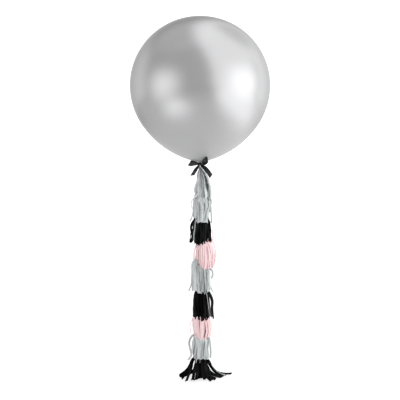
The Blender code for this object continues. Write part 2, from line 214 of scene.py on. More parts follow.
# Columns: name, azimuth, elevation, distance, width, height, radiance, feather.
SOFTBOXES = (
    ("window_right", 68, 2, 2.4, 80, 60, 1.05, 0.5),
    ("left", -54, -3, 2.4, 74, 62, 1.15, 0.5),
)
for box in SOFTBOXES:
    softbox(*box)

floor = bpy.data.objects.new("floor", bpy.data.meshes.new("floor"))
scene.collection.objects.link(floor)
corners = np.array([(-1, -1, 0), (1, -1, 0), (1, 1, 0), (-1, 1, 0)]) * FLOOR_REACH
corners = corners + (0, 0, FLOOR_Z - FLOOR_GAP)
floor.data.from_pydata(corners.tolist(), [], [(0, 1, 2, 3)])
white = Finish("white_floor", base_color=(0.25, 0.25, 0.25, 1.0), roughness=0.8, emission_strength=1.0)
# The floor's glow is painted light: it is raised at the right, where the windows' light would lie, and in a
# pool of light in front at the left, and it is painted darker towards the front. On the camera's side the far
# floor is painted as grey as the wall behind it, so that no line shows between them.
floor_x, floor_y, _ = white.axes(white.place())
from_middle = (floor_x * floor_x + floor_y * floor_y) ** 0.5
at_right = floor_x.smooth(0.6, 2.8) * (floor_x / from_middle).smooth(0.25, 0.6)
pool_x, pool_y = floor_x - POOL_X, floor_y - POOL_Y
pool = 1 - ((pool_x * pool_x + pool_y * pool_y) ** 0.5).smooth(0.0, POOL_RADIUS)
at_right = at_right * (1 - 0.45 * floor_y.smooth(0.3, 2.5))
far_front = from_middle.smooth(2.5, 9.0) * (1 - (floor_y / from_middle).smooth(-0.1, 0.6))
glow = FLOOR_GLOW + WINDOW_GLOW * at_right + POOL_GLOW * pool
glow = glow - FRONT_SHADE * (0 - floor_y).smooth(1.0, 6.0) - FAR_SHADE * far_front
white.feed("Emission Color", white.shade((1.0, 1.0, 1.0), glow))
floor.data.materials.append(white.material)


# The balloon: one round skin of pearl silver latex, blown up with lifting gas. Its underside is drawn
# down to the pinched neck, where it gathers in fine pleats. It is thin and glossy, and dull at the neck.
BALLOON_RADIUS = 0.45
# The crown is a little flatter than a ball, and within DROOP_START of the axis the underside sags.
CROWN_SHARE = 0.977
DROOP = 0.042
DROOP_START = 0.36
ARC_START = 0.004
ARC_END = math.radians(177.4)
ARC_ROWS, FUNNEL_ROWS, TUBE_ROWS, SKIN_COLUMNS = 150, 12, 21, 256
NECK_RADIUS = 0.0072
NECK_TOP_Z = -0.4912
BEND_TOP_Z = -0.5035
BEND_RADIUS = 0.01
BEND_ANGLE = math.radians(80)
NECK_END_Z = BEND_TOP_Z - BEND_RADIUS * BEND_ANGLE
PEARL = (0.385, 0.385, 0.39)
# The neck's duller latex, its pearl painted lighter to lift the shade under the bow.
DULL_PEARL_PAINTED_LIGHTER = (0.46, 0.46, 0.465)


def smooth_step(value, start, end):
    """0 before start, 1 after end, t * t * (3 - 2 * t) between them."""
    share = np.clip((value - start) / (end - start), 0.0, 1.0)
    return share * share * (3 - 2 * share)


def bend_neck(points):
    """Bends what lies below BEND_TOP_Z along the neck: an arc of BEND_RADIUS to the back, then straight."""
    along = np.maximum(BEND_TOP_Z - points[..., 2], 0.0)
    angle = np.minimum(along / BEND_RADIUS, BEND_ANGLE)
    past = np.maximum(along - BEND_RADIUS * BEND_ANGLE, 0.0)
    centre_y = BEND_RADIUS * (1 - np.cos(angle)) + past * np.sin(angle)
    centre_z = BEND_TOP_Z - BEND_RADIUS * np.sin(angle) - past * np.cos(angle)
    across = points[..., 1]
    bent = points.copy()
    bent[..., 1] = np.where(along > 0, centre_y + across * np.cos(angle), across)
    bent[..., 2] = np.where(along > 0, centre_z + across * np.sin(angle), points[..., 2])
    return bent


def tube_faces(rows, columns, start=0, caps=True):
    """Quads of a grid whose columns close on themselves, with a flat cap on the first and last row."""
    row, column = np.meshgrid(np.arange(rows - 1), np.arange(columns), indexing="ij")
    beside = (column + 1) % columns
    here, next_row = row * columns, (row + 1) * columns
    quads = np.stack((here + column, next_row + column, next_row + beside, here + beside), axis=-1)
    faces = (quads.reshape(-1, 4) + start).tolist()
    if caps:
        faces.append((np.arange(columns) + start).tolist())
        faces.append((np.arange(columns)[::-1] + (rows - 1) * columns + start).tolist())
    return faces


def add_piece(name, points, finish, body, nodes, slot, sharp=40.0, faces=None):
    """A mesh with its finish, on its body and in place of its solids. Without faces, a capped grid."""
    faces = faces or tube_faces(*points.shape[:2])
    points = points.reshape(-1, 3)
    mesh = bpy.data.meshes.new(name)
    mesh.from_pydata(points.tolist(), [], faces)
    mesh.validate()
    # Faces that close a negative volume look inwards, and are turned over.
    mesh.calc_loop_triangles()
    corners = np.empty(3 * len(mesh.loop_triangles), int)
    mesh.loop_triangles.foreach_get("vertices", corners)
    first, second, third = points[corners].reshape(-1, 3, 3).transpose(1, 0, 2)
    if (np.cross(first, second) * third).sum() < 0:
        mesh.flip_normals()
    mesh.shade_smooth()
    mesh.set_sharp_from_angle(angle=math.radians(sharp))
    mesh.materials.append(finish.material)
    piece = bpy.data.objects.new(name, mesh)
    scene.collection.objects.link(piece)
    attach(piece, body)
    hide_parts(*nodes)
    return piece


def around(sides):
    """The angles of equal steps round a circle."""
    return np.arange(sides) * 2 * np.pi / sides


def turned(radius, height, sides, ripple=0.0):
    """Points (radius * cos a, radius * sin a, height), with the radius cut by ripple * pleat(a)."""
    angle = around(sides)
    radius = np.asarray(radius)[:, None] * (1 - np.asarray(ripple)[..., None] * pleat(angle))
    height = np.broadcast_to(np.asarray(height)[:, None], radius.shape)
    return np.stack((radius * np.cos(angle), radius * np.sin(angle), height), axis=-1)


def pleat(angle):
    """Uneven gathers round an axis, 0 on the ridges and 1 in the creases: three waves that beat together."""
    wave = np.cos(17 * angle + 1.3 * np.sin(3 * angle)) + 0.6 * np.cos(11 * angle + 0.8)
    wave = wave + 0.4 * np.cos(29 * angle)
    return np.clip(0.5 - wave / 3.2, 0.0, 1.0) ** 1.5


# The skin's profile: the ball down to ARC_END, a funnel down to the neck, and the neck's tube.
arc = np.linspace(ARC_START, ARC_END, ARC_ROWS)
out = BALLOON_RADIUS * np.sin(arc)
low = np.where(arc > np.pi / 2, DROOP * np.clip(1 - out / DROOP_START, 0, 1) ** 1.5, 0.0)
high = BALLOON_RADIUS * np.cos(arc) * np.where(arc < np.pi / 2, CROWN_SHARE, 1.0) - low
step = np.linspace(0, 1, FUNNEL_ROWS + 1)[1:]
funnel_out = out[-1] + (NECK_RADIUS - out[-1]) * step**0.6
funnel_high = high[-1] + (NECK_TOP_Z - high[-1]) * step**1.5
tube_high = np.linspace(NECK_TOP_Z, NECK_END_Z, TUBE_ROWS + 1)[1:]
out = np.concatenate((out, funnel_out, np.full(TUBE_ROWS, NECK_RADIUS)))
high = np.concatenate((high, funnel_high, tube_high))
gather = 0.1 * smooth_step(-out, -0.085, -0.012)
skin = bend_neck(turned(out, high, SKIN_COLUMNS, gather))

latex = Finish("pearl_latex", specular_tint=(0.55, 0.55, 0.55, 1.0))
_, _, height = latex.axes(latex.place())
neck = 1 - height.smooth(-0.485, -0.44)
underside = 1 - height.smooth(-0.45, -0.2)
cloud = latex.noise(2.2, 3.0)
flake = latex.noise(900.0, 1.0)
# Painted shade: the colour is a tenth darker on the underside, where less light reaches it.
lightness = (0.96 + 0.06 * cloud + 0.05 * flake) * (1 - 0.1 * underside)
# Painted light: towards the neck the colour turns to the lighter dull pearl, lifting the shade under the bow.
tone = latex.mix(neck, PEARL, DULL_PEARL_PAINTED_LIGHTER)
latex.feed("Base Color", latex.shade(tone, lightness))
latex.feed("Roughness", 0.24 + 0.03 * cloud + 0.03 * flake + 0.16 * neck + 0.12 * underside)
latex.feed("Metallic", 1 - 0.95 * underside)
peel = latex.noise(260.0, 2.0)
latex.bump(peel, 0.00004, 0.4)
add_piece("balloon_skin", skin, latex, "balloon", ["envelope"], "latex", 60.0)


# The neck's tie: the latex below the bow is bent to the back, knotted once over itself, and ends in the
# flat mouth with its rolled lip that the balloon was filled through. The same latex, thicker and duller.
SEAT_GAP = 0.0003
KNOT_TOP_Z = NECK_END_Z - SEAT_GAP
KNOT_LENGTH = 0.02
MOUTH_TOP_Z = KNOT_TOP_Z - KNOT_LENGTH - SEAT_GAP
MOUTH_LENGTH = 0.038
MOUTH_FLATNESS = 0.42
KNOT_ROWS, KNOT_COLUMNS = 44, 64
MOUTH_ROWS, MOUTH_COLUMNS = 70, 72
RUBBER = (0.24, 0.24, 0.245)
RUBBER_LIGHT = (0.36, 0.36, 0.365)
# Columns: share of the knot's length, radius.
KNOT_PROFILE = ((0.0, 0.001), (0.01, 0.0076), (0.1, 0.0102), (0.26, 0.012), (0.42, 0.0114), (0.52, 0.0106))
KNOT_PROFILE += ((0.66, 0.0116), (0.84, 0.011), (0.97, 0.0078), (1.0, 0.001))
# Columns: share of the mouth's length, radius. The last rows run back up inside it.
MOUTH_PROFILE = ((0.0, 0.001), (0.01, 0.006), (0.22, 0.0092), (0.6, 0.0123), (0.88, 0.0145), (0.93, 0.0165))
MOUTH_PROFILE += ((0.98, 0.0166), (1.0, 0.015), (0.97, 0.0134), (0.62, 0.0107), (0.51, 0.001))


def run_so_far(line):
    """How far each point of a line lies from its start, along the line."""
    return np.concatenate(([0.0], np.cumsum(np.linalg.norm(np.diff(line, axis=0), axis=1))))


def along_profile(profile, steps):
    """Share and radius at equal steps along a profile's broken line, 30 mm long, softly rounded."""
    share, radius = np.array(profile).T
    run = run_so_far(np.stack((share * 0.03, radius), axis=-1))
    at = np.linspace(0.0, run[-1], steps)
    fine = np.stack((np.interp(at, run, share), np.interp(at, run, radius)))
    fine[:, 1:-1] = (fine[:, :-2] + 2 * fine[:, 1:-1] + fine[:, 2:]) / 4
    return fine


rubber = Finish("thick_latex", roughness=0.42, metallic=0.75)
folds = rubber.noise(160.0, 3.0)
rubber.feed("Base Color", rubber.mix(folds, RUBBER, RUBBER_LIGHT))
rubber.bump(folds, 0.0006, 0.5)

share, radius = along_profile(KNOT_PROFILE, KNOT_ROWS)
knot = turned(radius, KNOT_TOP_Z - share * KNOT_LENGTH, KNOT_COLUMNS)
angle = around(KNOT_COLUMNS)
# The roll winds round the neck one and a half times: its ridge turns with the height.
roll = 1 + 0.07 * np.cos(angle[None, :] - 3 * np.pi * share[:, None]) * np.sin(np.pi * share)[:, None]
knot[..., :2] *= roll[..., None]
add_piece("neck_roll", bend_neck(knot), rubber, "balloon", ["neck_knot"], "latex")

share, radius = along_profile(MOUTH_PROFILE, MOUTH_ROWS)
gather = 0.1 * smooth_step(-share, -0.5, 0.0)
mouth = turned(radius, MOUTH_TOP_Z - share * MOUTH_LENGTH, MOUTH_COLUMNS, gather)
mouth[..., 1] *= MOUTH_FLATNESS
add_piece("neck_lip", bend_neck(mouth), rubber, "balloon", ["neck_mouth"], "latex")


# The bow: 29 mm black satin ribbon, wound round the neck and tied in front into two loops and two
# tails. It is gathered at the knot, opens out along its length, and has a firm woven edge.
RIBBON_WIDTH = 0.029
RIBBON_THICKNESS = 0.0006
BAND_TOP_Z = -0.4915
BAND_HEIGHT = 0.008
BAND_RADIUS = 0.0108
BOW = np.array((0.0, -0.0166, -0.5))
BOW_KNOT_SIZE = (0.017, 0.011, 0.014)
BOW_KNOT_POWERS = (0.7, 0.8)
ROOT_WIDTH = 0.009
LOOP_ROOT_DEPTH = 0.0025
TAIL_ROOT_X = 0.0048
TAIL_FORWARD = 0.019
SLANT_START = 0.6
BAND_ROWS, BAND_INSIDE_ROWS, BAND_COLUMNS = 40, 6, 72
BALL_ROWS, BALL_COLUMNS = 34, 56
LOOP_ROWS, TAIL_ROWS, RIBBON_COLUMNS = 72, 48, 15
SATIN = (0.009, 0.009, 0.01)
SATIN_EDGE = (0.018, 0.018, 0.019)
# Each loop's line runs from the knot's side, first straight sideways by its lead, then round to its tip.
# Columns: node, lead, point it steers by, tip (both from the bow's middle), fullness, lean forwards and
# roll of the tip in degrees, roundness of its tip.
BOW_LOOPS = (
    ("bow_loop_left", 0.0081, (-0.028, -0.042, 0.0036), (-0.0693, -0.0402, -0.0001), 0.0288, -40, 37.6, 0.82),
    ("bow_loop_right", 0.0108, (0.02, -0.0452, -0.007), (0.0455, -0.104, 0.026), 0.0314, 50, 4.2, 1.1),
)
# Columns: node, middle of the tail's end from the bow's middle, direction across the ribbon there, sag,
# slant of the end's cut, how soon it opens to its full width.
BOW_TAILS = (
    ("bow_tail_left", (-0.0497, -0.02, -0.0773), (0.62, -0.65, -0.44), -0.002, -0.013, 1.6),
    ("bow_tail_right", (0.0714, -0.041, -0.0834), (0.84, 0.15, 0.5), -0.008, -0.0055, 3.6),
)

satin = Finish("black_satin", specular_ior_level=0.3, sheen_weight=0.06, sheen_roughness=0.35)
u, v, _ = satin.axes(satin.place("UV"))
warp = (u * 2600).sine()
weft = (v * 1400).sine()
streak = satin.noise(40.0, 3.0, satin.place("UV"), (1.0, 0.15, 1.0))
selvedge = 1 - (0.5 - (u - 0.5).size()).smooth(0.02, 0.05)
black = satin.mix(selvedge, SATIN, SATIN_EDGE)
satin.feed("Base Color", satin.shade(black, 0.7 + 0.6 * streak))
satin.feed("Roughness", 0.26 + 0.12 * streak + 0.15 * selvedge)
satin.bump(warp * 0.3 + weft * 0.7 + 3 * selvedge, 0.00003, 0.5)


def unit(vectors):
    """Each vector divided by its length."""
    return vectors / np.maximum(np.linalg.norm(vectors, axis=-1, keepdims=True), 1e-12)


def ribbon(middle, width, across, crease, slant):
    """A thin closed strip along the middle line, with its front and back a thickness apart.

    A point is middle + side * s * width / 2 + run * s * slant + normal * (crease * cos(3 pi s)
    + or - thickness / 2), where s runs from -1 to 1, normal = run x across, and side = normal x run.
    """
    run = unit(np.gradient(middle, axis=0))
    normal = unit(np.cross(run, across))
    side = np.cross(normal, run)
    s = np.linspace(-1, 1, RIBBON_COLUMNS)
    spread = side[:, None] * (s[:, None] * width[:, None, None] / 2)
    spread = spread + run[:, None] * (s[:, None] * slant[:, None, None])
    fold = normal[:, None] * (crease[:, None] * np.cos(3 * np.pi * s))[..., None]
    lift = normal[:, None] * RIBBON_THICKNESS / 2
    front = middle[:, None] + spread + fold + lift
    back = middle[:, None] + spread + fold - lift
    points = np.concatenate((front, back[:, ::-1]), axis=1)
    u = np.concatenate((s, s[::-1])) / 2 + 0.5
    v = run_so_far(middle) / RIBBON_WIDTH
    return points, u[None, :], v[:, None]


def add_uv(piece, u, v):
    """Gives each corner of the mesh the place (u, v) of its point on the flat strip."""
    uv = np.stack(np.broadcast_arrays(u, v), axis=-1).reshape(-1, 2)
    layer = piece.data.uv_layers.new(name="flat")
    corner = np.empty(len(piece.data.loops), int)
    piece.data.loops.foreach_get("vertex_index", corner)
    layer.data.foreach_set("uv", uv[corner].astype(np.float32).ravel())


def add_ribbon(node, middle, *shape):
    """A loop or tail of the bow, as long when flat as its middle line, gathered into the bow's knot."""
    points, u, v = ribbon(middle, *shape)
    piece = add_piece(node + "_ribbon", points, satin, "balloon", [node], "satin", 60.0)
    add_uv(piece, u, v)


# The band: its outside waves with the ribbon's turns and is rounded at the edges, its inside is plain.
share = np.linspace(0, 1, BAND_ROWS)
wave = 0.00045 * np.sin(share * 9 * np.pi)
outside = BAND_RADIUS - RIBBON_THICKNESS + wave - 0.0025 * (2 * share - 1) ** 6
inside = np.full(BAND_INSIDE_ROWS, NECK_RADIUS + RIBBON_THICKNESS)
depth = np.concatenate((share, np.linspace(1, 0, BAND_INSIDE_ROWS))) * BAND_HEIGHT
band = turned(np.concatenate((outside, inside)), BAND_TOP_Z - depth, BAND_COLUMNS)
band[..., 2] += 0.0004 * np.sin(3 * around(BAND_COLUMNS))
band = np.concatenate((band, band[:1]))
band_faces = tube_faces(len(band), BAND_COLUMNS, caps=False)
band_piece = add_piece("ribbon_turns", band, satin, "balloon", ["ribbon_band"], "satin", faces=band_faces)
add_uv(band_piece, np.linspace(0, 1, len(band))[:, None], np.linspace(0, 3, BAND_COLUMNS)[None, :])

BALL_RING = around(BALL_COLUMNS)[None, :]
BALL_TILT = np.linspace(-np.pi / 2, np.pi / 2, BALL_ROWS)[:, None]


def bulge(value, power):
    """|value| ^ power, with the value's own sign."""
    return np.sign(value) * np.abs(value) ** power


def ball(power=1.0, side_power=1.0):
    """A ball with a radius of 1, which powers below 1 square off. The powers keep each value's sign.

    x = cos(tilt)^power * cos(ring)^power, y = cos(tilt)^power * sin(ring)^side_power, z = sin(tilt)^power
    """
    level, high = bulge(np.cos(BALL_TILT), power), bulge(np.sin(BALL_TILT), power)
    x, y = level * bulge(np.cos(BALL_RING), power), level * bulge(np.sin(BALL_RING), side_power)
    return np.stack(np.broadcast_arrays(x, y, high), axis=-1)


# The bow's knot is a small pillow, creased up and down in front.
pillow = ball(*BOW_KNOT_POWERS)
crease = 1 - 0.07 * np.abs(np.sin(2.5 * np.pi * pillow[..., 0])) * smooth_step(-pillow[..., 1], -0.2, 0.4)
pillow[..., 1] *= crease
pillow = pillow * np.array(BOW_KNOT_SIZE) / 2 + BOW
knot_piece = add_piece("ribbon_knot", pillow, satin, "balloon", ["bow_knot"], "satin", 60.0)
add_uv(knot_piece, np.linspace(0, 1, BALL_ROWS)[:, None], np.linspace(0, 2, BALL_COLUMNS)[None, :])

for node, lead, steer, tip, fullness, lean, roll, roundness in BOW_LOOPS:
    way = math.copysign(1.0, tip[0])
    side = np.array((way * BOW_KNOT_SIZE[0] / 2.2, 0.0, 0.0))
    first = side + (way * lead, 0.0, 0.0)
    steer, tip = np.array(steer), np.array(tip)
    turn = np.linspace(0, np.pi, LOOP_ROWS)
    full = np.sin(turn)
    share = (full**roundness)[:, None]
    rest = 1 - share
    line = side * rest**3 + first * 3 * rest**2 * share + steer * 3 * rest * share**2 + tip * share**3
    along = unit((first - side) * rest**2 + (steer - first) * 2 * rest * share + (tip - steer) * share**2)
    back = unit(np.array((0.0, 1.0, 0.0)) - along * along[:, 1:2])
    up = np.cross(along, back)
    up = up * np.sign(up[:, 2:3])
    leaned = (math.radians(lean) * full)[:, None]
    behind = back * np.cos(leaned) - up * np.sin(leaned)
    above = up * np.cos(leaned) + back * np.sin(leaned)
    rolled = (math.radians(roll) * full**2)[:, None]
    above = above * np.cos(rolled) - along * np.sin(rolled)
    depth = -np.cos(turn) * (LOOP_ROOT_DEPTH + (fullness - LOOP_ROOT_DEPTH) * full**1.5)
    middle = BOW + line + behind * depth[:, None]
    width = ROOT_WIDTH + (RIBBON_WIDTH - ROOT_WIDTH) * full**0.6
    gathers = 0.0014 * (1 - full) ** 1.5 + 0.0002 * full
    add_ribbon(node, middle, width, above, gathers, np.zeros(LOOP_ROWS))

for node, end, end_across, sag, cut, opening in BOW_TAILS:
    end = np.array(end)
    start = np.array((math.copysign(TAIL_ROOT_X, end[0]), 0.0, -BOW_KNOT_SIZE[2] / 2 + 0.0005))
    share = np.linspace(0, 1, TAIL_ROWS)[:, None]
    drape = np.array((0.0, -TAIL_FORWARD, -sag)) * np.sin(np.pi * share)
    middle = BOW + start * (1 - share) + end * share + drape
    turn = np.minimum(1.0, share * 1.3)
    across = np.array((1.0, 0.0, 0.0)) * (1 - turn) + np.array(end_across) * turn
    opened = np.minimum(1.0, share[:, 0] * opening)
    width = ROOT_WIDTH + (RIBBON_WIDTH - ROOT_WIDTH) * opened**0.8
    gathers = 0.0012 * (1 - opened) + 0.0002 * np.sin(np.pi * share[:, 0])
    slant = cut * np.clip((share[:, 0] - SLANT_START) / (1 - SLANT_START), 0, 1) ** 2
    add_ribbon(node, middle, width, across, gathers, slant)


# The cord: white twisted cotton, 2.5 mm thick. A ring of it is tied round the neck under the ribbon,
# and its end is knotted to the garland's own cord, which runs straight down and carries the tassels.
CORD_RADIUS = 0.00125
CORD_STRANDS = 3
CORD_SIDES = 12
CORD_PITCH = 0.009
GARLAND_Y = -0.01
GARLAND_LINE = (0.0, GARLAND_Y, 0.0)
PIVOT_Z = -0.514
HITCH_RADIUS = 0.003
CORD_KNOT_RADIUS = 0.0032
CORD_KNOT_REACH = 0.0034
STEM_TO_KNOT = 0.0025
END_TO_KNOT = 0.004
CORD_LOOP_Z = -0.5015
LEG_END_Z = -0.5107
CORD_END_Z = FLOOR_Z + 0.006
RING_ROWS, RING_TWISTS, LEG_ROWS = 97, 6, 24
CORD_STEP = 0.0008
TWIST_LENGTH = 0.022
COTTON = (0.62, 0.61, 0.58)
COTTON_LIGHT = (0.86, 0.85, 0.82)

cotton = Finish("cotton_cord", roughness=0.85, sheen_weight=0.25, sheen_roughness=0.5)
fluff = cotton.noise(1500.0, 3.0)
cotton.feed("Base Color", cotton.mix(fluff, COTTON, COTTON_LIGHT))
cotton.bump(fluff, 0.0002, 0.6)


def cord_tube(middle, radius, pitch=CORD_PITCH, frame_up=(0.0, 1.0, 0.0)):
    """A twisted cord along a line: radius * (0.9 + 0.1 |cos(strands / 2 * (a - 2 pi run / pitch))|)."""
    run = unit(np.gradient(middle, axis=0))
    first = unit(np.cross(run, np.array(frame_up)))
    second = np.cross(run, first)
    angle = around(CORD_SIDES)
    turned_by = 2 * np.pi * run_so_far(middle)[:, None] / pitch
    ply = 0.9 + 0.1 * np.abs(np.cos(CORD_STRANDS / 2 * (angle[None, :] - turned_by)))
    out = np.broadcast_to(radius, (len(middle),))[:, None] * ply
    round_it = first[:, None] * np.cos(angle)[None, :, None] + second[:, None] * np.sin(angle)[None, :, None]
    return middle[:, None] + out[..., None] * round_it


turn = np.linspace(0, 2 * np.pi, RING_ROWS) - np.pi / 2
ring_radius = NECK_RADIUS + CORD_RADIUS + 0.0002
level = np.full(RING_ROWS, CORD_LOOP_Z)
loop_line = np.stack((ring_radius * np.cos(turn), ring_radius * np.sin(turn), level), axis=-1)
loop_line[-1] = loop_line[0]
loop_pitch = 2 * np.pi * ring_radius / RING_TWISTS
loop = cord_tube(loop_line, CORD_RADIUS, loop_pitch, frame_up=(0.0, 0.0, 1.0))[:-1]
loop = np.concatenate((loop, loop[:1]))
leg_start = (0.0, -ring_radius - SEAT_GAP, CORD_LOOP_Z - 0.0002)
leg = cord_tube(np.linspace(leg_start, (0.0, GARLAND_Y, LEG_END_Z), LEG_ROWS), CORD_RADIUS)
loop_faces = tube_faces(len(loop), CORD_SIDES, caps=False)
loop_faces += tube_faces(LEG_ROWS, CORD_SIDES, len(loop) * CORD_SIDES)
ring_points = np.concatenate((loop.reshape(-1, 3), leg.reshape(-1, 3)))
add_piece("neck_cord", ring_points, cotton, "balloon", ["cord_loop"], "cord", faces=loop_faces)

# The knot at the hitch: a ball wound round with cord, radius * (0.9 + 0.1 |sin(1.5 ring + 4 tilt)|).
wrap = 0.9 + 0.1 * np.abs(np.sin(1.5 * BALL_RING + 4 * BALL_TILT))
hitch = ball() * (HITCH_RADIUS * wrap)[..., None] + (0.0, GARLAND_Y, PIVOT_Z)
add_piece("hitch_knot", hitch, cotton, "hitch", ["cord_hitch"], "cord")

# Columns: paper, height of the tassel's top, length down to its hem.
TASSELS = (
    ("silver", -0.5175, 0.2),
    ("silver", -0.662, 0.2155),
    ("black", -0.812, 0.2165),
    ("pink", -0.964, 0.219),
    ("silver", -1.115, 0.216),
    ("black", -1.266, 0.238),
    ("pink", -1.417, 0.207),
    ("silver", -1.568, 0.207),
    ("black", -1.719, 0.1545),
)
cord_high = np.arange(PIVOT_Z - HITCH_RADIUS - SEAT_GAP, CORD_END_Z, -CORD_STEP)
cord_high = np.append(cord_high, CORD_END_Z)
# The cord is thicker at a round knot under each stem and at the longer one at its end.
end_knot = CORD_END_Z + END_TO_KNOT
knot_at = [top - TWIST_LENGTH - SEAT_GAP - STEM_TO_KNOT for _, top, _ in TASSELS] + [end_knot]
near = np.abs(cord_high[:, None] - np.array(knot_at)[None, :]).min(axis=1) / CORD_KNOT_REACH
thick = CORD_RADIUS + (CORD_KNOT_RADIUS - CORD_RADIUS) * np.sqrt(np.clip(1 - near**2, 0, 1))
thick = np.where(cord_high < end_knot, CORD_KNOT_RADIUS, thick)
cord = cord_tube(cord_high[:, None] * (0, 0, 1) + GARLAND_LINE, thick)
add_piece("garland_cord", cord, cotton, "garland", ["cord"], "cord")


# The tassels: a sheet of tissue paper is cut into a fringe, rolled up, and its middle is twisted into
# a stem with an eye for the cord. Thirty to fifty curled strips hang down over the next tassel's top,
# and a few hang loose. The lowest tassel's strips lie spread out on the floor.
STRIP_THICKNESS = 0.0003
STRIP_ROWS = 34
STRIP_COLUMNS = 7
FLOOR_SEAT = 0.0002
# How far below a tassel's top its strips start, and the most that it reaches to the front.
CROWN_DEPTH = 0.008
MOST_DEPTH = 0.048
# The share of its full width that a strip has on average, as curl cuts it.
MEAN_WIDTH = 0.92
# How ragged the hem of the first tassel is, and that of the others.
RAGGED_FIRST, RAGGED = 0.06, 0.016
# How the papers are cut and hang. Columns: strips in the outer, middle and inner layer, width of a
# strip, least and most cup across it, twist, sway in metres.
PAPERS = {
    "silver": ((13, 11, 8), 0.029, (0.05, 0.3), 0.3, 0.0045),
    "black": ((20, 15, 9), 0.0195, (0.3, 0.55), 0.22, 0.0028),
    "pink": ((22, 16, 9), 0.0195, (0.35, 0.6), 0.2, 0.0028),
}
# How far out each layer hangs, as a share of the outline.
LAYER_REACH = (1.0, 0.93, 0.75)
# Where each hanging tassel's strips end: mm down from its top, at its left, middle and right.
HEMS = (
    (215, 240, 245), (204, 217, 208), (197, 208, 196), (158, 215, 205),
    (199, 214.5, 202), (214.5, 235.5, 219.5), (184, 204.5, 203), (187, 204, 190),
)
# How far each hanging tassel reaches. Columns: hundredths of its length, mm left and right of the cord.
REACHES = (
    ((5, 6, 13), (12, 11, 25), (18, 14, 35), (31, 17, 50), (44, 20, 61), (70, 27, 71), (110, 38, 76)),
    ((6, 8, 20), (16, 26, 50), (33, 44, 73), (45, 49, 74), (57, 46, 71), (72, 44, 60), (100, 30, 56)),
    ((6, 6, 8), (20, 22, 38), (35, 28, 50), (58, 34, 51), (82, 40, 50), (100, 43, 50)),
    ((6, 6, 12), (16, 14, 60), (30, 21, 88), (45, 26, 94), (62, 30, 95), (80, 24, 91), (100, 14, 82)),
    ((5, 24, 10), (12, 42, 24), (20, 46, 50), (35, 47, 66), (55, 49, 65), (75, 40, 61), (100, 38, 60)),
    ((6, 10, 10), (16, 26, 28), (30, 40, 58), (45, 44, 64), (60, 44, 66), (80, 47, 68), (100, 51, 72)),
    ((6, 10, 10), (16, 26, 26), (30, 44, 56), (45, 49, 74), (60, 49, 76), (75, 42, 74), (100, 32, 58)),
    ((5, 24, 10), (16, 43, 44), (30, 45, 58), (50, 41, 53), (75, 44, 50), (100, 47, 46)),
)
